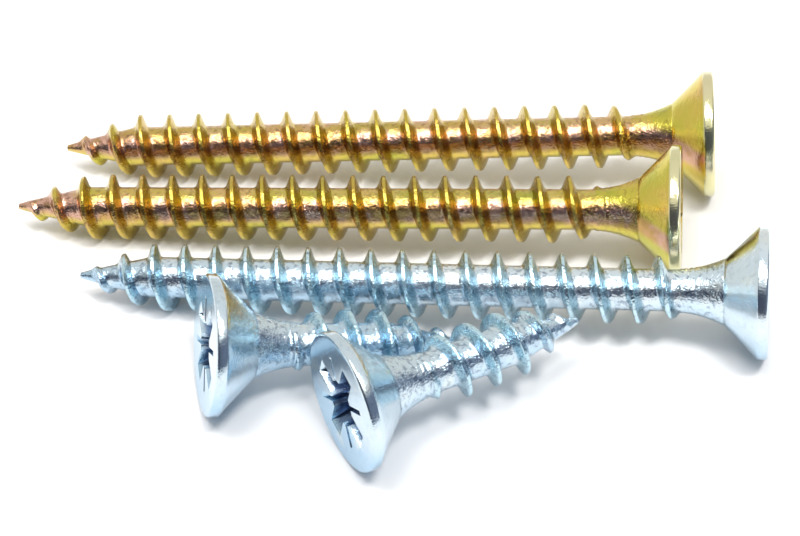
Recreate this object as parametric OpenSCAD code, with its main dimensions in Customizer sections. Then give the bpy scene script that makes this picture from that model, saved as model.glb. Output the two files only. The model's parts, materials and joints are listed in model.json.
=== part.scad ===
// Five loose countersunk wood screws lying together: three long, two short.
// Units: mm. Z is up, the surface they lie on is Z = 0, and the zinc long screw lies along X.

/* [Long screws] */
// Length of a long screw, head face to point
long_length = 40; // [30:1:60]
// Head radius of a long screw
long_head_radius = 3.8; // [3.2:0.05:5.2]
// Length of the tapering point of a long screw
long_point_length = 4.4; // [3:0.1:8]

/* [Short screws] */
// Length of a short screw, head face to point
short_length = 14.7; // [12:0.1:25]
// Head radius of a short screw
short_head_radius = 4.0; // [3.2:0.05:5.2]
// Length of the tapering point of a short screw
short_point_length = 4.2; // [3:0.1:6]

/* [Thread] */
// Radius at the crest of the thread
thread_radius = 1.98; // [1.7:0.02:2.5]
// Radius of the core between the ridges
core_radius = 1.2; // [0.9:0.02:1.5]
// Distance from one ridge to the next
thread_pitch = 1.835; // [1.25:0.005:2.6]
// Width of the flat on top of a ridge
crest_width = 0.12; // [0.05:0.01:0.3]
// Width of a ridge where it meets the core
ridge_width = 0.74; // [0.4:0.02:1.1]
// Radius of the blunt end of the point
tip_radius = 0.14; // [0.05:0.01:0.4]

/* [Head and neck] */
// Height of the straight rim around the head
rim_height = 0.6; // [0.3:0.05:1]
// Small chamfer on the edge of the face
rim_chamfer = 0.15; // [0.03:0.01:0.25]
// Half angle of the countersunk cone
cone_half_angle = 45; // [35:1:50]
// Radius where the cone meets the neck
neck_radius = 1.9; // [1.6:0.05:2.3]
// Length of the smooth neck below the cone
neck_length = 2.5; // [1.5:0.1:4]
// Length over which the first ridge grows to its full height
run_out_length = 1.5; // [0.6:0.1:3]

/* [Cross recess] */
// Radius of the recess at the face
recess_radius = 2.6; // [1.8:0.05:2.8]
// Radius of the recess at its floor
recess_floor_radius = 1.0; // [0.6:0.05:1.4]
// Width of a main wing
wing_width = 1.15; // [0.8:0.05:1.4]
// Depth of the recess
recess_depth = 2.3; // [1.5:0.1:2.6]
// Radius of the round middle of the recess at the face
hub_radius = 1.25; // [0.9:0.05:1.6]
// Width of a thin diagonal groove
tick_width = 0.34; // [0.2:0.02:0.5]
// Reach of a thin diagonal groove at the face
tick_radius = 2.65; // [1.4:0.05:2.8]
// Depth of a thin diagonal groove
tick_depth = 1.3; // [0.8:0.1:2]

/* [How they lie] */
// Gap between the head of the front yellow screw and the zinc long screw
front_gap = 0.85; // [0.3:0.05:3]
// Gap between the two yellow screws
rear_gap = 0.6; // [0.3:0.05:3]
// Gap between the thread of the left short screw and the zinc long screw
left_gap = 0.2; // [0.2:0.02:2]
// Gap between the tip of the front short screw and the side of the zinc long screw
lean_gap = 0.64; // [0.1:0.02:1]
// Gap between the rim of the front short screw and the thread of the left one
pair_gap = 0.1; // [0.1:0.02:1]
// Set-back of the front yellow head behind the zinc head
front_set_back = 5.2; // [0:0.1:12]
// Set-back of the rear yellow head behind the zinc head
rear_set_back = 3.6; // [0:0.1:12]
// Turn of the front yellow screw
front_turn = 1.3; // [0:0.1:6]
// Turn of the rear yellow screw
rear_turn = 3.4; // [0:0.05:8]
// Place along the zinc long screw of the full thread end of the left short screw
left_place = 21.1; // [14:0.1:28]
// Turn of the left short screw
left_turn = 18.4; // [12:0.1:30]
// Turn of the front short screw
lean_turn = 34.6; // [30:0.1:50]
// Height of the tip that leans on the zinc long screw
lean_height = 3.32; // [2:0.02:3.6]

/* [Resolution] */
// Sides of the threaded core in one turn
turn_sides = 24; // [16:4:32]

/* [Hidden] */
yellow = [0.80, 0.66, 0.30];
zinc = [0.68, 0.74, 0.84];
round_sides = 96;
hub_floor_radius = 0.35;
hub_floor_drop = 0.3;
bury = thread_pitch + 0.2;
thread_turn_zinc = 301;
thread_turn_front = 223;
thread_turn_rear = 352;
thread_turn_left = 280;
thread_turn_lean = 260;
drive_turn_zinc = 5;
drive_turn_front = 34;
drive_turn_rear = 62;
drive_turn_left = 12;
drive_turn_lean = 16;

// Where the cone ends, and where the smooth neck ends
function cone_end(head_r) = rim_height + (head_r - neck_radius) / tan(cone_half_angle);
function neck_end(head_r) = cone_end(head_r) + neck_length;

// Outer radius of a screw at a station along its axis, crests included
function outline_radius(head_r, s) = lookup(s, [
    [0, head_r],
    [rim_height, head_r],
    [cone_end(head_r), neck_radius],
    [cone_end(head_r) + 0.01, max(neck_radius, thread_radius)]
]);

// A screw on a flat surface rests on its rim and on the last full ridge, so its axis tips down
function lie_pitch(length, head_r, point_length) =
    atan((head_r - thread_radius) / (length - point_length - rim_height));
function face_height(head_r, pitch) = head_r * cos(pitch) + rim_height * sin(pitch);

pitch_long = lie_pitch(long_length, long_head_radius, long_point_length);
pitch_short = lie_pitch(short_length, short_head_radius, short_point_length);
pitch_lean = asin((short_head_radius - lean_height) / short_length);

height_long = face_height(long_head_radius, pitch_long);
height_short = face_height(short_head_radius, pitch_short);
height_lean = face_height(short_head_radius, pitch_lean);

// Yaw is the way a screw points, from its head to its tip
yaw_zinc = 180;
yaw_front = 180 + front_turn;
yaw_rear = 180 + rear_turn;
yaw_left = left_turn;
yaw_lean = lean_turn;

// Face centres in plan, measured from the face centre of the zinc long screw
place_zinc = [0, 0];
place_front = [
    -front_set_back,
    outline_radius(long_head_radius, front_set_back) + long_head_radius + front_gap
];
step_back = abs(rear_set_back - front_set_back);
place_rear = [
    -rear_set_back,
    place_front[1] + outline_radius(long_head_radius, step_back) + long_head_radius + rear_gap
];

// The left short screw: its last full ridge lies beside the thread of the zinc long screw
left_run = (short_length - short_point_length) * cos(pitch_short);
left_side = 2 * thread_radius + left_gap;
place_left = [
    -left_place - left_run * cos(yaw_left),
    -left_side - left_run * sin(yaw_left)
];

// The front short screw: its tip leans on the zinc long screw and its rim clears the left screw
lean_run = short_length * cos(pitch_lean);
lean_tip_y = -(thread_radius + tip_radius + lean_gap);
rim_edge = [
    -(lean_run - rim_height) * cos(yaw_lean) - short_head_radius * sin(yaw_lean),
    -(lean_run - rim_height) * sin(yaw_lean) + short_head_radius * cos(yaw_lean)
];
lean_side = thread_radius + pair_gap;
lean_tip_x = place_left[0] - rim_edge[0]
    + (lean_side + (lean_tip_y + rim_edge[1] - place_left[1]) * cos(yaw_left)) / sin(yaw_left);
place_lean = [
    lean_tip_x - lean_run * cos(yaw_lean),
    lean_tip_y - lean_run * sin(yaw_lean)
];

// Way a screw points, and how far a disc of radius r square to it reaches along one axis
function way(yaw, pitch) = [cos(yaw) * cos(pitch), sin(yaw) * cos(pitch), -sin(pitch)];
function reach(yaw, pitch, r, i) = r * sqrt(1 - pow(way(yaw, pitch)[i], 2));
function face_high(place, yaw, pitch, head_r, i) = max(
    place[i] + reach(yaw, pitch, head_r, i) + rim_chamfer_back(yaw, pitch, i),
    place[i] + rim_height * way(yaw, pitch)[i] + reach(yaw, pitch, head_r, i)
);
function face_low(place, yaw, pitch, head_r, i) = min(
    place[i] - reach(yaw, pitch, head_r, i) + rim_chamfer_back(yaw, pitch, i),
    place[i] + rim_height * way(yaw, pitch)[i] - reach(yaw, pitch, head_r, i)
);
function rim_chamfer_back(yaw, pitch, i) = rim_chamfer * way(yaw, pitch)[i];
function tip_at(place, yaw, pitch, length, i) = place[i] + length * way(yaw, pitch)[i];

// Middle of the whole group in plan, which becomes the origin
high_x = max(
    rim_chamfer_high_x(),
    face_high(place_front, yaw_front, pitch_long, long_head_radius, 0)
);
function rim_chamfer_high_x() = (long_head_radius - rim_chamfer) * sin(pitch_long);
low_x = min(
    tip_at(place_zinc, yaw_zinc, pitch_long, long_length, 0),
    tip_at(place_front, yaw_front, pitch_long, long_length, 0),
    tip_at(place_rear, yaw_rear, pitch_long, long_length, 0)
);
high_y = face_high(place_rear, yaw_rear, pitch_long, long_head_radius, 1);
low_y = min(
    face_low(place_lean, yaw_lean, pitch_lean, short_head_radius, 1),
    face_low(place_left, yaw_left, pitch_short, short_head_radius, 1)
);
middle = [(high_x + low_x) / 2, (high_y + low_y) / 2, 0];

// ---- the threaded shank: one closed surface that follows the helix ----

profile_points = 4;
function profile_z(k) =
    k == 0 ? -crest_width / 2 :
    k == 1 ? crest_width / 2 :
    k == 2 ? ridge_width / 2 :
    thread_pitch - ridge_width / 2;
function profile_is_crest(k) = k < 2;

// Core and crest radius at a station; both shrink to the blunt tip, the crest grows from the neck
function taper(s, length, point_length) =
    s < length - point_length ? 1 :
    pow(max(0, (length - s) / point_length), 0.85);
function core_at(s, length, point_length) =
    tip_radius + (core_radius - tip_radius) * taper(s, length - 0.2, point_length);
function crest_at(s, length, point_length, start) =
    let (full = tip_radius + 0.12 + (thread_radius - tip_radius - 0.12) * taper(s, length, point_length))
    let (grow = min(1, max(0, (s - start) / run_out_length)))
    core_at(s, length, point_length)
        + max(0.02, full - core_at(s, length, point_length)) * pow(grow, 0.6);

module threaded_shank(length, head_r, point_length) {
    start = neck_end(head_r);
    base = start - bury;
    rows = floor((length - base - thread_pitch - 0.25) / thread_pitch * profile_points);
    n = turn_sides;
    function station(i, j) =
        base + floor(i / profile_points) * thread_pitch
        + profile_z(i % profile_points) + thread_pitch * j / n;
    function radius_at(i, s) = profile_is_crest(i % profile_points)
        ? crest_at(s, length, point_length, start)
        : core_at(s, length, point_length);
    function spot(i, j) =
        let (s = station(i, j))
        let (r = radius_at(i, s))
        [r * cos(360 * j / n), r * sin(360 * j / n), s];
    function at(i, j) =
        j == n ? at(i + profile_points, 0) :
        i <= rows ? i * n + j :
        (rows + 1) * n + i - rows - 1;
    grid = [for (i = [0 : rows]) for (j = [0 : n - 1]) spot(i, j)];
    extra = [for (i = [rows + 1 : rows + profile_points]) spot(i, 0)];
    count = len(grid) + len(extra);
    root = [0, 0, base + 0.2];
    tip = [0, 0, length];
    sides = [for (i = [0 : rows - 1]) for (j = [0 : n - 1]) for (f = [0, 1])
        f == 0 ? [at(i, j), at(i, j + 1), at(i + 1, j + 1)]
               : [at(i, j), at(i + 1, j + 1), at(i + 1, j)]];
    root_loop = concat(
        [for (j = [0 : n - 1]) at(0, j)],
        [for (k = [profile_points : -1 : 1]) at(k, 0)]
    );
    tip_loop = concat(
        [for (j = [0 : n - 1]) at(rows, j)],
        [for (k = [profile_points : -1 : 1]) at(rows + k, 0)]
    );
    m = len(root_loop);
    root_fan = [for (q = [0 : m - 1]) [root_loop[(q + 1) % m], root_loop[q], count]];
    tip_fan = [for (q = [0 : m - 1]) [tip_loop[q], tip_loop[(q + 1) % m], count + 1]];
    polyhedron(
        points = concat(grid, extra, [root, tip]),
        faces = [for (f = concat(sides, root_fan, tip_fan)) [f[2], f[1], f[0]]],
        convexity = 10
    );
}

// ---- head, cone and neck: one turned shape ----

module head_and_neck(head_r) {
    c = cone_end(head_r);
    e = neck_end(head_r);
    rotate_extrude($fn = round_sides)
        polygon(concat(
            [
                [0, 0],
                [head_r - rim_chamfer, 0],
                [head_r, rim_chamfer],
                [head_r, rim_height]
            ],
            [for (q = [0 : 6]) let (t = q / 6) [
                core_radius + 0.05 + (neck_radius - core_radius - 0.05) * pow(1 - t, 1.8),
                c + (e - c) * t
            ]],
            [
                [core_radius - 0.15, e + 0.25],
                [0, e + 0.25]
            ]
        ));
}

// ---- the cross recess: two tapered slabs, a round middle and four thin diagonal grooves ----

module tapered_slab(top_r, floor_r, depth, width) {
    slope = (top_r - floor_r) / depth;
    rotate([90, 0, 0])
        linear_extrude(height = width, center = true)
        polygon([
            [-top_r - slope, -1],
            [top_r + slope, -1],
            [floor_r, depth],
            [-floor_r, depth]
        ]);
}

module cross_recess() {
    for (a = [0, 90])
        rotate([0, 0, a])
        tapered_slab(recess_radius, recess_floor_radius, recess_depth, wing_width);
    for (a = [45, 135])
        rotate([0, 0, a])
        tapered_slab(tick_radius, hub_radius - 0.3, tick_depth, tick_width);
    hub_slope = hub_radius * 0.2;
    rotate_extrude($fn = round_sides)
        polygon([
            [0, -1],
            [hub_radius + hub_slope, -1],
            [hub_radius - hub_slope, recess_depth],
            [hub_floor_radius, recess_depth + hub_floor_drop],
            [0, recess_depth + hub_floor_drop]
        ]);
}

module screw(length, head_r, point_length, thread_turn, drive_turn) {
    difference() {
        union() {
            head_and_neck(head_r);
            rotate([0, 0, thread_turn])
                threaded_shank(length, head_r, point_length);
        }
        rotate([0, 0, drive_turn])
            cross_recess();
    }
}

// Lays a screw down: face centre over a place in plan, pointing along yaw and down by pitch
module lay(place, height, yaw, pitch) {
    translate([place[0] - middle[0], place[1] - middle[1], height])
        rotate([0, 90 + pitch, yaw])
        children();
}

module long_zinc_screw() {
    color(zinc)
        lay(place_zinc, height_long, yaw_zinc, pitch_long)
        screw(long_length, long_head_radius, long_point_length, thread_turn_zinc, drive_turn_zinc);
}

module long_yellow_screw_front() {
    color(yellow)
        lay(place_front, height_long, yaw_front, pitch_long)
        screw(long_length, long_head_radius, long_point_length, thread_turn_front, drive_turn_front);
}

module long_yellow_screw_rear() {
    color(yellow)
        lay(place_rear, height_long, yaw_rear, pitch_long)
        screw(long_length, long_head_radius, long_point_length, thread_turn_rear, drive_turn_rear);
}

module short_zinc_screw_left() {
    color(zinc)
        lay(place_left, height_short, yaw_left, pitch_short)
        screw(short_length, short_head_radius, short_point_length, thread_turn_left, drive_turn_left);
}

module short_zinc_screw_front() {
    color(zinc)
        lay(place_lean, height_lean, yaw_lean, pitch_lean)
        screw(short_length, short_head_radius, short_point_length, thread_turn_lean, drive_turn_lean);
}

long_zinc_screw();
long_yellow_screw_front();
long_yellow_screw_rear();
short_zinc_screw_left();
short_zinc_screw_front();
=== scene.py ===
import json
import math

import bmesh
import bpy
from mathutils import Matrix, Vector


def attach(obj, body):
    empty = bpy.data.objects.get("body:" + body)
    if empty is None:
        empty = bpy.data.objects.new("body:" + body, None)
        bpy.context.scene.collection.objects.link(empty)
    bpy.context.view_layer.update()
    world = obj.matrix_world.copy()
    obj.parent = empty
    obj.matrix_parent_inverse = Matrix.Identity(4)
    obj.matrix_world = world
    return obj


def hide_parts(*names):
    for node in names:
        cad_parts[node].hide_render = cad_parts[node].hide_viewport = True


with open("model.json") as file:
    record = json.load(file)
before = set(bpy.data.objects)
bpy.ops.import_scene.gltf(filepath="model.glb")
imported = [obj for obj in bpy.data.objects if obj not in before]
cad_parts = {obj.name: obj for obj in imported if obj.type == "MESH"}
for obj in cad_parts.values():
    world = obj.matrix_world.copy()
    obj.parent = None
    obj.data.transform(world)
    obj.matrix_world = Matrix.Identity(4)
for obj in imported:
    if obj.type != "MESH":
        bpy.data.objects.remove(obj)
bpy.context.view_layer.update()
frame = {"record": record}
MM = 0.001


# ------------------------------------------------------------------ node helpers
class Value:
    """A socket that takes part in Python sums. Each operator adds one Math node."""

    def __init__(self, tree, socket):
        self.tree, self.socket = tree, socket

    def maths(self, operation, *others):
        return self.tree.add("ShaderNodeMath", {"operation": operation}, [self, *others])

    def __add__(self, other):
        return self.maths("ADD", other)

    def __sub__(self, other):
        return self.maths("SUBTRACT", other)

    def __mul__(self, other):
        return self.maths("MULTIPLY", other)

    def __truediv__(self, other):
        return self.maths("DIVIDE", other)

    def __pow__(self, other):
        return self.maths("POWER", other)

    def __rsub__(self, other):
        return self.tree.add("ShaderNodeMath", {"operation": "SUBTRACT"}, [other, self])

    def __rtruediv__(self, other):
        return self.tree.add("ShaderNodeMath", {"operation": "DIVIDE"}, [other, self])

    __radd__ = __add__
    __rmul__ = __mul__

    def clamp(self):
        return self.maths("MAXIMUM", 0.0).maths("MINIMUM", 1.0)

    def between(self, low, high):
        """0 below low and 1 above high, smooth in the middle."""
        return self.tree.add(
            "ShaderNodeMapRange",
            {"interpolation_type": "SMOOTHSTEP"},
            {"Value": self, "From Min": low, "From Max": high, "To Min": 0.0, "To Max": 1.0},
        )


class Tree:
    """Adds nodes to a node tree: type, settings, then the values or links of its sockets."""

    def __init__(self, tree):
        self.tree = tree

    def add(self, kind, settings=None, inputs=None, out=0):
        node = self.tree.nodes.new(kind)
        for key, value in (settings or {}).items():
            if key == "stops":
                ramp = node.color_ramp
                while len(ramp.elements) > 1:
                    ramp.elements.remove(ramp.elements[-1])
                for i, (place, colour) in enumerate(value):
                    stop = ramp.elements[0] if i == 0 else ramp.elements.new(place)
                    stop.position, stop.color = place, (*colour, 1.0)
            else:
                setattr(node, key, value)
        pairs = inputs.items() if isinstance(inputs, dict) else enumerate(inputs or [])
        for key, value in pairs:
            socket = node.inputs[key]
            if isinstance(value, Value):
                self.tree.links.new(value.socket, socket)
            else:
                socket.default_value = value
        return Value(self, node.outputs[out])

    def mix(self, factor, first, second, blend="MIX"):
        """Mixes two colours; each may be a socket or three numbers."""
        full = [c if isinstance(c, Value) else (*c, 1.0) for c in (first, second)]
        node = self.tree.nodes.new("ShaderNodeMix")
        node.data_type, node.blend_type = "RGBA", blend
        for index, value in ((0, factor), (6, full[0]), (7, full[1])):
            if isinstance(value, Value):
                self.tree.links.new(value.socket, node.inputs[index])
            else:
                node.inputs[index].default_value = value
        return Value(self, node.outputs[2])

    def split(self, vector):
        """The three parts of a vector."""
        node = self.tree.nodes.new("ShaderNodeSeparateXYZ")
        self.tree.links.new(vector.socket, node.inputs[0])
        return [Value(self, part) for part in node.outputs]

    def end(self, kind, value):
        """Adds the last node and links a value to it."""
        node = self.tree.nodes.new(kind)
        self.tree.links.new(value.socket, node.inputs[0])


def empty_tree(owner):
    """Turns nodes on for a material or a world, and starts from none."""
    owner.use_nodes = True
    owner.node_tree.nodes.clear()
    return Tree(owner.node_tree)


# ------------------------------------------------------------------ mesh helpers
def put_in_scene(name, data):
    made = bpy.data.objects.new(name, data)
    bpy.context.scene.collection.objects.link(made)
    return made


def solid_from(bm, name):
    """Turns the faces outwards and puts the solid in the scene."""
    bmesh.ops.recalc_face_normals(bm, faces=bm.faces)
    mesh = bpy.data.meshes.new(name)
    bm.to_mesh(mesh)
    bm.free()
    return put_in_scene(name, mesh)


def settle(piece, step):
    """Makes the result of a modifier the piece's own mesh."""
    done = bpy.data.meshes.new_from_object(
        piece.evaluated_get(bpy.context.evaluated_depsgraph_get())
    )
    piece.modifiers.remove(step)
    piece.data = done


# ------------------------------------------------------------------ sizes, in millimetres
# the rim and the recess count from the face of the head, the thread from the end of the cone
PITCH = 1.835
THREAD_START = 0.465
CREST_RADIUS = 1.98
CREST_WIDTH = 0.22
RIDGE_WIDTH = 0.84
ROOT_ROUNDING = 0.14
CREST_ROUNDING = 0.16
THREAD_FADE = 1.6
THREAD_FADE_EARLY = 0.25
BARE_POINT = 0.35
POINT_RIDGE = 0.12
CORE_RADIUS = 1.2
NECK_RADIUS = 1.9
NECK_LENGTH = 2.5
NECK_STEP = 0.05
TIP_RADIUS = 0.14
MARK_SPACING = 0.31
MARK_HEIGHT = 0.018
DENT_HEIGHT = 0.03
RIM_HEIGHT = 0.6
RIM_ROUNDING = 0.18
CONE_EDGE = 0.04
CONE_BOW = 0.035
SPIGOT_RADIUS = 1.25
SPIGOT_LENGTH = 0.75
BEVEL_WIDTH = 0.035
RECESS_RADIUS = 2.6
RECESS_FLOOR_RADIUS = 1.0
RECESS_DEPTH = 2.3
WING_WIDTH = 1.15
TICK_RADIUS = 2.65
TICK_WIDTH = 0.34
TICK_DEPTH = 1.3
HUB_RADIUS = 1.25
CUT_ABOVE_FACE = 0.5
LONG = {"length": 40.0, "head": 3.8, "point": 4.4}
SHORT = {"length": 14.7, "head": 4.0, "point": 4.2}
# kind, turn of the thread and of the recess in degrees, metal
SCREWS = {
    "long_zinc_screw": (LONG, 301, 5, "bright_zinc"),
    "long_yellow_screw_front": (LONG, 223, 34, "yellow_zinc"),
    "long_yellow_screw_rear": (LONG, 352, 62, "yellow_zinc"),
    "short_zinc_screw_left": (SHORT, 280, 12, "bright_zinc"),
    "short_zinc_screw_front": (SHORT, 260, 16, "bright_zinc"),
}
ROWS_IN_A_TURN = 22
SIDES = 72
HEAD_SIDES = 128
HUB_SIDES = 48
# how unevenly the rows lie, and how each outline curves along the screw
ROW_CROWDING = 0.72
NECK_CURVE = 1.8
POINT_CURVE = 0.92
CREST_CURVE = 0.85
FADE_CURVE = 0.65


def cone_end(head):
    return RIM_HEIGHT + head - NECK_RADIUS


# ------------------------------------------------------------------ the threaded shank
def shank_tree():
    """Geometry nodes: a grid rolled up along the helix, so each ridge follows the mesh."""
    group = bpy.data.node_groups.new("threaded shank", "GeometryNodeTree")
    face = group.interface
    face.new_socket("Metal", in_out="INPUT", socket_type="NodeSocketMaterial")
    names = ["Length", "Cone end", "Neck length", "Neck radius", "Core radius", "Crest radius"]
    names += ["Pitch", "Point length", "Tip radius", "Crest width", "Ridge width", "Wear seed"]
    for name in names:
        face.new_socket(name, in_out="INPUT", socket_type="NodeSocketFloat")
    face.new_socket("Rows", in_out="INPUT", socket_type="NodeSocketInt")
    face.new_socket("Geometry", in_out="OUTPUT", socket_type="NodeSocketGeometry")
    t = Tree(group)
    entry = group.nodes.new("NodeGroupInput")
    given = {s.name: Value(t, s) for s in entry.outputs if s.name}
    length, pitch = given["Length"], given["Pitch"]

    rows = given["Rows"]
    grid = t.add(
        "GeometryNodeMeshGrid",
        {},
        {"Size X": rows - 1.0, "Size Y": float(SIDES), "Vertices X": rows, "Vertices Y": SIDES + 1},
    )
    place = t.add("GeometryNodeInputPosition")
    x, y, _ = t.split(place)
    row = (x + (rows - 1.0) * 0.5) / float(ROWS_IN_A_TURN)
    around = (y / float(SIDES)) + 0.5

    # rows are crowded at each crest, so that its edge is crisp
    turn = row - (row * math.tau).maths("SINE") * (ROW_CROWDING / math.tau)
    start = given["Cone end"] + THREAD_START - pitch * 2.0
    s = start + (turn + around) * pitch
    s = s.maths("MAXIMUM", given["Cone end"] - 0.04).maths("MINIMUM", length)
    from_crest = ((turn + 0.5).maths("FRACT") - 0.5).maths("ABSOLUTE") * pitch
    half_ridge, half_crest = given["Ridge width"] * 0.5, given["Crest width"] * 0.5
    flank = (half_ridge - from_crest) / (half_ridge - half_crest)
    ridge = flank.maths("SMOOTH_MAX", 0.0, ROOT_ROUNDING).maths("SMOOTH_MIN", 1.0, CREST_ROUNDING)

    # the core: neck, straight stretch, then the point
    left = length - s
    neck_share = ((s - given["Cone end"]) / given["Neck length"]).clamp()
    flare = given["Neck radius"] - given["Core radius"] - NECK_STEP
    neck = given["Core radius"] + NECK_STEP + flare * ((1.0 - neck_share) ** NECK_CURVE)
    point_share = ((left + 0.1) / given["Point length"]).clamp() ** POINT_CURVE
    core_point = given["Tip radius"] + (given["Core radius"] - given["Tip radius"]) * point_share
    core = neck.maths("MAXIMUM", core_point)
    past_neck = neck_share.between(0.97, 1.0)
    core = core * (1.0 - past_neck) + core_point * past_neck

    crest_share = (left / given["Point length"]).clamp() ** CREST_CURVE
    tip_crest = given["Tip radius"] + POINT_RIDGE
    full = tip_crest + (given["Crest radius"] - tip_crest) * crest_share
    neck_end = given["Cone end"] + given["Neck length"]
    grown = ((s - neck_end + THREAD_FADE_EARLY) / THREAD_FADE).clamp() ** FADE_CURVE
    ends = (left - BARE_POINT).between(0.0, 1.1)
    height = (full - core).maths("MAXIMUM", 0.0) * grown * ends

    # rolling marks where the thread starts, and small dents along the ridges
    marks = (s * (math.tau / MARK_SPACING) - around * math.tau).maths("SINE")
    mark_zone = (s - neck_end + 1.25).between(0.0, 0.5) * (neck_end + 0.9 - s).between(0.0, 0.6)
    angle = around * math.tau
    cos, sin = angle.maths("COSINE"), angle.maths("SINE")
    spot = t.add("ShaderNodeCombineXYZ", {}, [cos * 1.6, sin * 1.6, s])
    dents = t.add(
        "ShaderNodeTexNoise",
        {"noise_dimensions": "4D"},
        {"Vector": spot, "W": given["Wear seed"], "Scale": 0.9, "Detail": 2.0},
    )
    radius = (
        core
        + height * ridge * (0.97 + (dents - 0.5) * 0.14)
        + marks * mark_zone * MARK_HEIGHT
        + (dents - 0.5) * DENT_HEIGHT * (s - given["Cone end"]).between(0.0, 1.0)
    )
    rolled = t.add("ShaderNodeCombineXYZ", {}, [radius * cos, radius * sin, s])
    moved = t.add("GeometryNodeSetPosition", {}, {"Geometry": grid, "Position": rolled})
    joined = t.add("GeometryNodeMergeByDistance", {}, {"Geometry": moved, "Distance": 0.0005})
    real = t.add("GeometryNodeRealizeInstances", {}, [joined])
    metal = t.add("GeometryNodeSetMaterial", {}, {"Geometry": real, "Material": given["Metal"]})
    t.end("NodeGroupOutput", metal)
    return group


def close_ends(mesh):
    """Closes each open end of the rolled grid with a fan to a point inside it."""
    bm = bmesh.new()
    bm.from_mesh(mesh)
    # a dictionary keeps its order, so that each run writes the faces in the same order
    open_edges = dict.fromkeys(e for e in bm.edges if e.is_boundary)
    while open_edges:
        edge = next(iter(open_edges))
        del open_edges[edge]
        loop, vert = [(edge.verts[0], edge.verts[1])], edge.verts[1]
        while True:
            following = next((e for e in vert.link_edges if e in open_edges), None)
            if following is None:
                break
            del open_edges[following]
            other = following.other_vert(vert)
            loop.append((vert, other))
            vert = other
        middle = Vector((0, 0, sum(a.co.z for a, _ in loop) / len(loop)))
        hub = bm.verts.new(middle)
        for a, b in loop:
            bm.faces.new((a, b, hub))
    bmesh.ops.recalc_face_normals(bm, faces=bm.faces)
    bm.to_mesh(mesh)
    bm.free()


def rolled_shank(tree, name, kind, metal, seed):
    holder = put_in_scene(name + "_rolled", bpy.data.meshes.new(name + "_rolled"))
    step = holder.modifiers.new("thread", "NODES")
    step.node_group = tree
    start = cone_end(kind["head"]) + THREAD_START - 2 * PITCH
    turns = (kind["length"] + 0.1 - start) / PITCH
    values = {
        "Metal": metal,
        "Length": kind["length"],
        "Cone end": cone_end(kind["head"]),
        "Neck length": NECK_LENGTH,
        "Neck radius": NECK_RADIUS,
        "Core radius": CORE_RADIUS,
        "Crest radius": CREST_RADIUS,
        "Pitch": PITCH,
        "Point length": kind["point"],
        "Tip radius": TIP_RADIUS,
        "Crest width": CREST_WIDTH,
        "Ridge width": RIDGE_WIDTH,
        "Wear seed": float(seed),
        "Rows": int(turns * ROWS_IN_A_TURN) + 1,
    }
    for item in tree.interface.items_tree:
        if item.item_type == "SOCKET" and item.in_out == "INPUT":
            step[item.identifier] = values[item.name]
    settle(holder, step)
    close_ends(holder.data)
    return holder


# ------------------------------------------------------------------ head and recess
def turned(name, outline, sides):
    """A closed solid turned around Z. Its (radius, height) points start and end on the axis."""
    bm = bmesh.new()
    rings = []
    for r, z in outline:
        if r < 1e-6:
            rings.append([bm.verts.new((0, 0, z))])
        else:
            angles = [math.tau * i / sides for i in range(sides)]
            rings.append([bm.verts.new((r * math.cos(a), r * math.sin(a), z)) for a in angles])
    for low, high in zip(rings, rings[1:]):
        for i in range(sides):
            j = (i + 1) % sides
            if len(low) == 1:
                bm.faces.new((low[0], high[i], high[j]))
            elif len(high) == 1:
                bm.faces.new((low[i], low[j], high[0]))
            else:
                bm.faces.new((low[i], low[j], high[j], high[i]))
    return solid_from(bm, name)


def head_solid(name, head):
    """Flat face, rounded rim edges, cone, and a spigot that runs on inside the neck."""
    end = cone_end(head)
    edge = RIM_ROUNDING
    outline = [(0, 0)]
    outline += [(r, 0.0) for r in (0.8, 1.6, 2.4, 3.0, head - 0.35)]
    for k in range(6):
        a = math.pi / 2 * k / 5
        outline.append((head - edge + edge * math.sin(a), edge - edge * math.cos(a)))
    outline += [(head, RIM_HEIGHT * 0.5), (head, RIM_HEIGHT - 0.05)]
    outline += [(head - 0.012, RIM_HEIGHT - 0.01), (head - CONE_EDGE, RIM_HEIGHT + 0.03)]
    for k in range(1, 9):
        f = k / 8
        bow = CONE_BOW * math.sin(math.pi * f)
        radius = head - CONE_EDGE - (head - CONE_EDGE - NECK_RADIUS) * f - bow
        outline.append((radius, RIM_HEIGHT + 0.03 + (end - RIM_HEIGHT - 0.03) * f))
    spigot_end = end + SPIGOT_LENGTH
    outline += [(NECK_RADIUS - 0.2, end + 0.08), (SPIGOT_RADIUS, spigot_end), (0, spigot_end)]
    return turned(name, outline, HEAD_SIDES)


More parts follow.
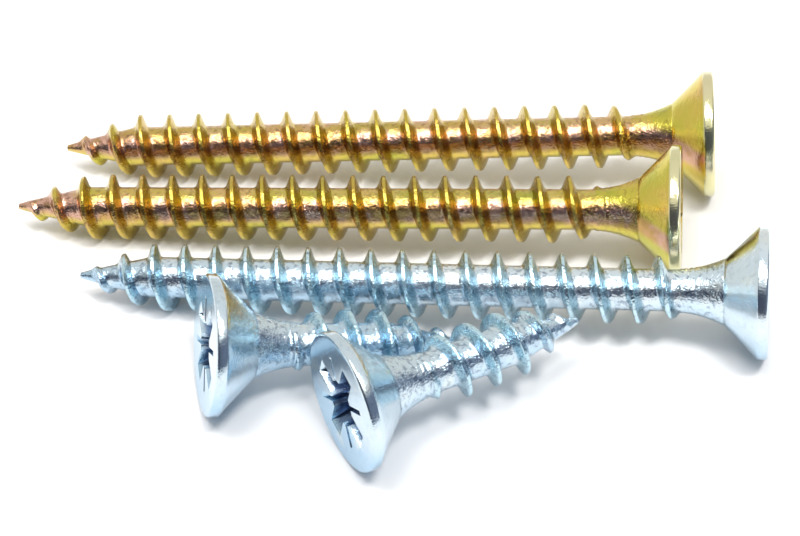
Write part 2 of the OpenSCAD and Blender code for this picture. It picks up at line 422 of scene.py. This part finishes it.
def recess_cutter(name, turn):
    """Four tapered wings, a round middle and four thin diagonal grooves, joined into one solid."""
    parts = []

    def slab(angle, top, floor, depth, width, floor_width):
        bm = bmesh.new()
        lean = (top - floor) / depth
        corners = []
        above = (top + lean * CUT_ABOVE_FACE, -CUT_ABOVE_FACE, width)
        for r, z, w in (above, (floor, depth, floor_width)):
            for x, y in ((r, w / 2), (-r, w / 2), (-r, -w / 2), (r, -w / 2)):
                corners.append(bm.verts.new((x, y, z)))
        sides = ((0, 4, 5, 1), (1, 5, 6, 2), (2, 6, 7, 3), (3, 7, 4, 0))
        for quad in ((0, 1, 2, 3), (7, 6, 5, 4), *sides):
            bm.faces.new([corners[i] for i in quad])
        swing = Matrix.Rotation(math.radians(angle), 3, "Z")
        bmesh.ops.rotate(bm, verts=bm.verts, matrix=swing)
        parts.append(solid_from(bm, name))

    wing = (RECESS_RADIUS, RECESS_FLOOR_RADIUS, RECESS_DEPTH, WING_WIDTH, WING_WIDTH * 0.82)
    tick = (TICK_RADIUS, HUB_RADIUS - 0.35, TICK_DEPTH, TICK_WIDTH, TICK_WIDTH * 0.6)
    for angle, shape in ((0, wing), (90, wing), (45, tick), (135, tick)):
        slab(angle + turn, *shape)
    hub_floor = RECESS_DEPTH + 0.3
    outline = [(0, -CUT_ABOVE_FACE), (HUB_RADIUS + 0.12, -CUT_ABOVE_FACE)]
    outline += [(HUB_RADIUS * 0.8, RECESS_DEPTH), (0.35, hub_floor), (0, hub_floor)]
    hub = turned(name, outline, HUB_SIDES)
    for part in parts:
        combine(hub, part, "UNION")
    return hub


def combine(target, tool, operation):
    """Joins a tool solid to a target, or cuts it away, and clears the tool."""
    step = target.modifiers.new("combine", "BOOLEAN")
    step.operation, step.solver, step.object = operation, "MANIFOLD", tool
    settle(target, step)
    bpy.data.objects.remove(tool)


def soften_edges(piece, width, angle):
    """A small real bevel on sharp edges."""
    step = piece.modifiers.new("bevel", "BEVEL")
    step.width, step.segments, step.limit_method = width, 2, "ANGLE"
    step.angle_limit = math.radians(angle)
    step.use_clamp_overlap = True
    settle(piece, step)


# ------------------------------------------------------------------ the screws
def lie(name):
    """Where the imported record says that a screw's face centre is, and the way it points."""
    found = {m["name"]: m for m in frame["record"]["mounts"]}
    mount = found[name.replace("_screw", "") + "_cross_recess"]
    way = -Vector(mount["axis"])
    yaw = math.atan2(way.y, way.x)
    fall = math.asin(-way.z)
    return (
        Matrix.Translation(Vector(mount["pos_m"]))
        @ Matrix.Rotation(yaw, 4, "Z")
        @ Matrix.Rotation(math.radians(90) + fall, 4, "Y")
        @ Matrix.Scale(MM, 4)
    )


def wood_screw(name, kind, thread_turn, drive_turn, metal, tree, seed):
    head = head_solid(name, kind["head"])
    combine(head, recess_cutter(name + "_cut", drive_turn), "DIFFERENCE")
    soften_edges(head, BEVEL_WIDTH, 28)
    shank = rolled_shank(tree, name, kind, metal, seed)
    shank.data.transform(Matrix.Rotation(math.radians(thread_turn), 4, "Z"))
    combine(head, shank, "UNION")
    mesh = head.data
    # each point keeps its place on its own screw, for the finishes
    own = mesh.attributes.new("own_place", "FLOAT_VECTOR", "POINT")
    own.data.foreach_set("vector", [c for v in mesh.vertices for c in v.co])
    mesh.transform(lie(name))
    mesh.materials.clear()
    mesh.materials.append(metal)
    for polygon in mesh.polygons:
        polygon.use_smooth = True
        polygon.material_index = 0
    mesh.set_sharp_from_angle(angle=math.radians(38))
    head.name = name + "_piece"
    return head


# ------------------------------------------------------------------ finishes
ZINC_DEEP = (0.62, 0.74, 0.82)
ZINC_PALE = (0.72, 0.79, 0.82)
ZINC_BLUE_AND_REFLECTION = (0.36, 0.54, 0.69)
ZINC_WARM = (0.76, 0.76, 0.68)
ZINC_RIDGE = (0.46, 0.70, 0.78)
ZINC_SPECKLE = (0.10, 0.15, 0.24)
# painted shade for the inside of the recess
ZINC_RECESS_PAINTED_SHADE = (0.09, 0.14, 0.27)
YELLOW_FILM = [
    (0.34, (0.40, 0.43, 0.07)),
    (0.46, (0.56, 0.50, 0.08)),
    (0.56, (0.63, 0.49, 0.10)),
    (0.66, (0.66, 0.46, 0.17)),
    (0.76, (0.48, 0.48, 0.10)),
]
COPPER_BROWN = (0.48, 0.27, 0.12)
COPPER_PINK = (0.60, 0.37, 0.28)
YELLOW_RIDGE = (0.50, 0.36, 0.07)
YELLOW_SPECKLE = (0.20, 0.09, 0.05)
YELLOW_RIM = (0.74, 0.73, 0.50)
# painted shade for the inside of the recess
YELLOW_RECESS_PAINTED_SHADE = (0.16, 0.11, 0.03)
FLOOR_COLOUR = (0.93, 0.93, 0.94)
PER_METRE = 1000.0
# roughly the axis of the two yellow screws at rest: height where x is 0, and slope
AXIS_HEIGHT = 2.93
AXIS_SLOPE = 0.052
BUMP_STRENGTH = 0.55
BUMP_DISTANCE = 0.00009


def metal_surface(name):
    material = bpy.data.materials.new(name)
    t = empty_tree(material)
    return material, t, t.add("ShaderNodeTexCoord", out=3)


def noise(t, place, size, detail=3.0, roughness=0.55, offset=(0, 0, 0), stretch=(1, 1, 1)):
    """Noise whose blobs are about size millimetres across."""
    moved = t.add(
        "ShaderNodeMapping", {}, {"Vector": place, "Location": offset, "Scale": stretch}
    )
    return t.add(
        "ShaderNodeTexNoise",
        {},
        {"Vector": moved, "Scale": PER_METRE / size, "Detail": detail, "Roughness": roughness},
    )


def zones(t):
    """Where a spot is on its own screw: shank, rim, recess and thread ridge, each 0 to 1."""
    own = t.add("ShaderNodeAttribute", {"attribute_name": "own_place"}, out=1)
    x, y, depth = t.split(own)
    radius = (x * x + y * y).maths("SQRT")
    shank = depth.between(2.3, 2.8)
    rim = radius.between(3.48, 3.62) * (1.0 - depth.between(0.60, 0.70))
    recess = (1.0 - (radius + depth * 0.75).between(3.0, 3.2)) * depth.between(0.05, 0.45)
    ridge = radius.between(1.28, 1.50) * depth.between(4.4, 5.0)
    return shank, rim, recess, ridge


def finish_metal(material, t, colour, smoothest, patch, fine, shank, place):
    """Gloss and a fine uneven surface, rougher on the shank than on the head."""
    pits = noise(t, place, 0.11, 2.0, 0.5)
    roughness = smoothest + patch * 0.10 + fine.between(0.55, 0.8) * 0.10
    height = (fine + pits * 0.5) * (shank * 0.7 + 0.3)
    bump = t.add(
        "ShaderNodeBump",
        {},
        {"Strength": BUMP_STRENGTH, "Distance": BUMP_DISTANCE, "Height": height},
    )
    shader = t.add(
        "ShaderNodeBsdfPrincipled",
        {},
        {"Base Color": colour, "Metallic": 1.0, "Roughness": roughness, "Normal": bump},
    )
    t.end("ShaderNodeOutputMaterial", shader)
    return material


def bright_zinc():
    material, t, place = metal_surface("bright_zinc_plating")
    broad = noise(t, place, 5.0, 2.0)
    patch = noise(t, place, 1.6, 3.0, offset=(0.01, 0.02, 0))
    fine = noise(t, place, 0.30, 4.0, 0.6)
    tint = t.mix(broad.between(0.35, 0.65), ZINC_DEEP, ZINC_PALE)
    # blue placed by where a spot lies at rest: low down it is a darker, bluer painted reflection of
    # the shaded floor; on the short screws it is the plating's own bluer tint
    _, y, z = t.split(place)
    low = 1.0 - (z * PER_METRE + patch * 1.6).between(2.2, 5.4)
    short = (y * -PER_METRE + broad).between(4.0, 8.0)
    tint = t.mix((low * 0.85 + short * 0.35).clamp(), tint, ZINC_BLUE_AND_REFLECTION)
    tint = t.mix(patch.between(0.55, 0.75) * 0.4, tint, ZINC_WARM)
    # tints placed by where a spot is on its own screw
    shank, _, recess, ridge = zones(t)
    tint = t.mix(ridge * 0.55, tint, ZINC_RIDGE)
    tint = t.mix(fine.between(0.50, 0.66) * (0.10 + shank * 0.45), tint, ZINC_SPECKLE)
    # painted shade: the recess is darkened
    tint = t.mix(recess * 0.80, tint, ZINC_RECESS_PAINTED_SHADE)
    return finish_metal(material, t, tint, 0.09, patch, fine, shank, place)


def yellow_zinc():
    material, t, place = metal_surface("yellow_zinc_plating")
    broad = noise(t, place, 4.2, 2.0, offset=(0.03, 0, 0.01))
    patch = noise(t, place, 1.5, 3.0, offset=(0.02, 0.01, 0))
    fine = noise(t, place, 0.30, 4.0, 0.6, offset=(0.04, 0, 0))
    film = t.add("ShaderNodeValToRGB", {"stops": YELLOW_FILM}, {"Fac": broad * 0.7 + patch * 0.3})
    # a copper band placed by height above the axis of the two screws as they lie at rest,
    # the same on both sides of a screw: partly the film's copper colour, partly painted reflection,
    # as it sits at the height of the highlight and of the dark reflected band below it
    x, _, z = t.split(place)
    above = z * PER_METRE - (x * PER_METRE * AXIS_SLOPE + AXIS_HEIGHT)
    copper_and_reflection = above.between(-0.4, 0.3) * (1.0 - above.between(0.85, 1.35))
    shade = t.mix(patch.between(0.4, 0.6), COPPER_BROWN, COPPER_PINK)
    film = t.mix((copper_and_reflection * (0.45 + patch)).clamp(), film, shade)
    # tints placed by where a spot is on its own screw
    shank, rim, recess, ridge = zones(t)
    film = t.mix(ridge * 0.70, film, YELLOW_RIDGE)
    # dark speckle: random pits, stronger on the shank, with more inside the copper band as a
    # painted mottled reflection
    speckle_and_reflection = fine.between(0.50, 0.68) * (0.06 + shank * (0.18 + copper_and_reflection * 0.5))
    tint = t.mix(speckle_and_reflection, film, YELLOW_SPECKLE)
    tint = t.mix(rim * 0.75, tint, YELLOW_RIM)
    # painted shade: the recess is darkened
    tint = t.mix(recess * 0.70, tint, YELLOW_RECESS_PAINTED_SHADE)
    return finish_metal(material, t, tint, 0.10, patch, fine, shank, place)


def pale_floor():
    material = bpy.data.materials.new("pale_floor")
    t = empty_tree(material)
    look = {"Base Color": (*FLOOR_COLOUR, 1.0), "Roughness": 0.6}
    t.end("ShaderNodeOutputMaterial", t.add("ShaderNodeBsdfPrincipled", {}, look))
    return material


# ------------------------------------------------------------------ make the five screws
SEED_STEP = 7.3
metals = {"bright_zinc": bright_zinc(), "yellow_zinc": yellow_zinc()}
tree = shank_tree()
for seed, (name, (kind, thread_turn, drive_turn, slot)) in enumerate(SCREWS.items()):
    piece = wood_screw(name, kind, thread_turn, drive_turn, metals[slot], tree, seed * SEED_STEP)
    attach(piece, name + "_body")
    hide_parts(name)

# ------------------------------------------------------------------ floor, light, camera
FLOOR_HALF_WIDTH = 1.5
FLOOR_DROP = 0.00002
# level directions towards the front and towards the right of the view
FRONT = Vector((0.1647, -0.9863, 0.0))
SIDE = Vector((0.9863, 0.1647, 0.0))
UP = Vector((0, 0, 1))
LIGHT_DISTANCE = 0.9
LENS = 107.79
SENSOR_WIDTH = 36.0
ELEVATION = 42.44
ROLL = -2.815
TARGET = Vector((1.184, 0.452, 1.994))
CAMERA_DISTANCE = 139.95

floor_mesh = bpy.data.meshes.new("floor")
floor_bm = bmesh.new()
bmesh.ops.create_grid(floor_bm, x_segments=1, y_segments=1, size=FLOOR_HALF_WIDTH)
floor_bm.to_mesh(floor_mesh)
floor_bm.free()
floor_mesh.transform(Matrix.Translation((0, 0, -FLOOR_DROP)))
floor = put_in_scene("floor", floor_mesh)
floor.data.materials.append(pale_floor())


def softbox(name, toward, wide, deep, power, colour):
    """A rectangular soft light that faces the middle of the screws."""
    lamp = bpy.data.lights.new(name, "AREA")
    lamp.shape, lamp.size, lamp.size_y = "RECTANGLE", wide, deep
    lamp.energy, lamp.color = power, colour
    made = put_in_scene(name, lamp)
    way = Vector(toward).normalized()
    made.location = way * LIGHT_DISTANCE
    made.rotation_euler = way.to_track_quat("Z", "Y").to_euler()


overhead = UP * 0.955 + FRONT * 0.12 - SIDE * 0.22
softbox("overhead_softbox", overhead, 0.30, 0.32, 3.4, (1.0, 0.985, 0.97))
to_the_right = UP * 0.90 + FRONT * 0.28 + SIDE * 0.24
softbox("right_softbox", to_the_right, 0.20, 0.18, 4.2, (1.0, 0.99, 0.97))

world = bpy.data.worlds.new("studio")
bpy.context.scene.world = world
w = empty_tree(world)
wx, wy, wz = w.split(w.add("ShaderNodeTexCoord", out=0))
behind = 0.0 - (wx * FRONT.x + wy * FRONT.y)
aside = wx * SIDE.x + wy * SIDE.y
# a white room behind and above the screws, and an unlit room on the other side
walls = w.mix(wz.between(0.5, 0.9), (0.92, 0.90, 0.85), (0.98, 0.97, 0.95))
unlit = w.mix(aside.between(-0.4, 0.9), (0.08, 0.09, 0.125), (0.20, 0.235, 0.32))
low_wall = (behind * 0.94 - aside * 0.34).between(-0.08, 0.30)
lit = low_wall.maths("MAXIMUM", (wz + behind * 0.2).between(0.54, 0.72))
glow = w.mix(lit, unlit, walls)
sky = w.add("ShaderNodeBackground", {}, {"Color": glow, "Strength": 1.0})
w.end("ShaderNodeOutputWorld", sky)

camera_data = bpy.data.cameras.new("camera")
camera_data.lens = LENS
camera_data.sensor_width = SENSOR_WIDTH
camera_data.clip_start = 0.002
camera_data.clip_end = 10.0
camera = put_in_scene("camera", camera_data)
elevation = math.radians(ELEVATION)
back_way = FRONT * math.cos(elevation) + UP * math.sin(elevation)
upright = back_way.cross(SIDE)
roll = math.radians(ROLL)
right = SIDE * math.cos(roll) + upright * math.sin(roll)
top = upright * math.cos(roll) - SIDE * math.sin(roll)
spot = TARGET * MM + back_way * CAMERA_DISTANCE * MM
camera.matrix_world = Matrix(
    (
        (right.x, top.x, back_way.x, spot.x),
        (right.y, top.y, back_way.y, spot.y),
        (right.z, top.z, back_way.z, spot.z),
        (0, 0, 0, 1),
    )
)
bpy.context.scene.camera = camera
bpy.context.scene.view_settings.view_transform = "Standard"
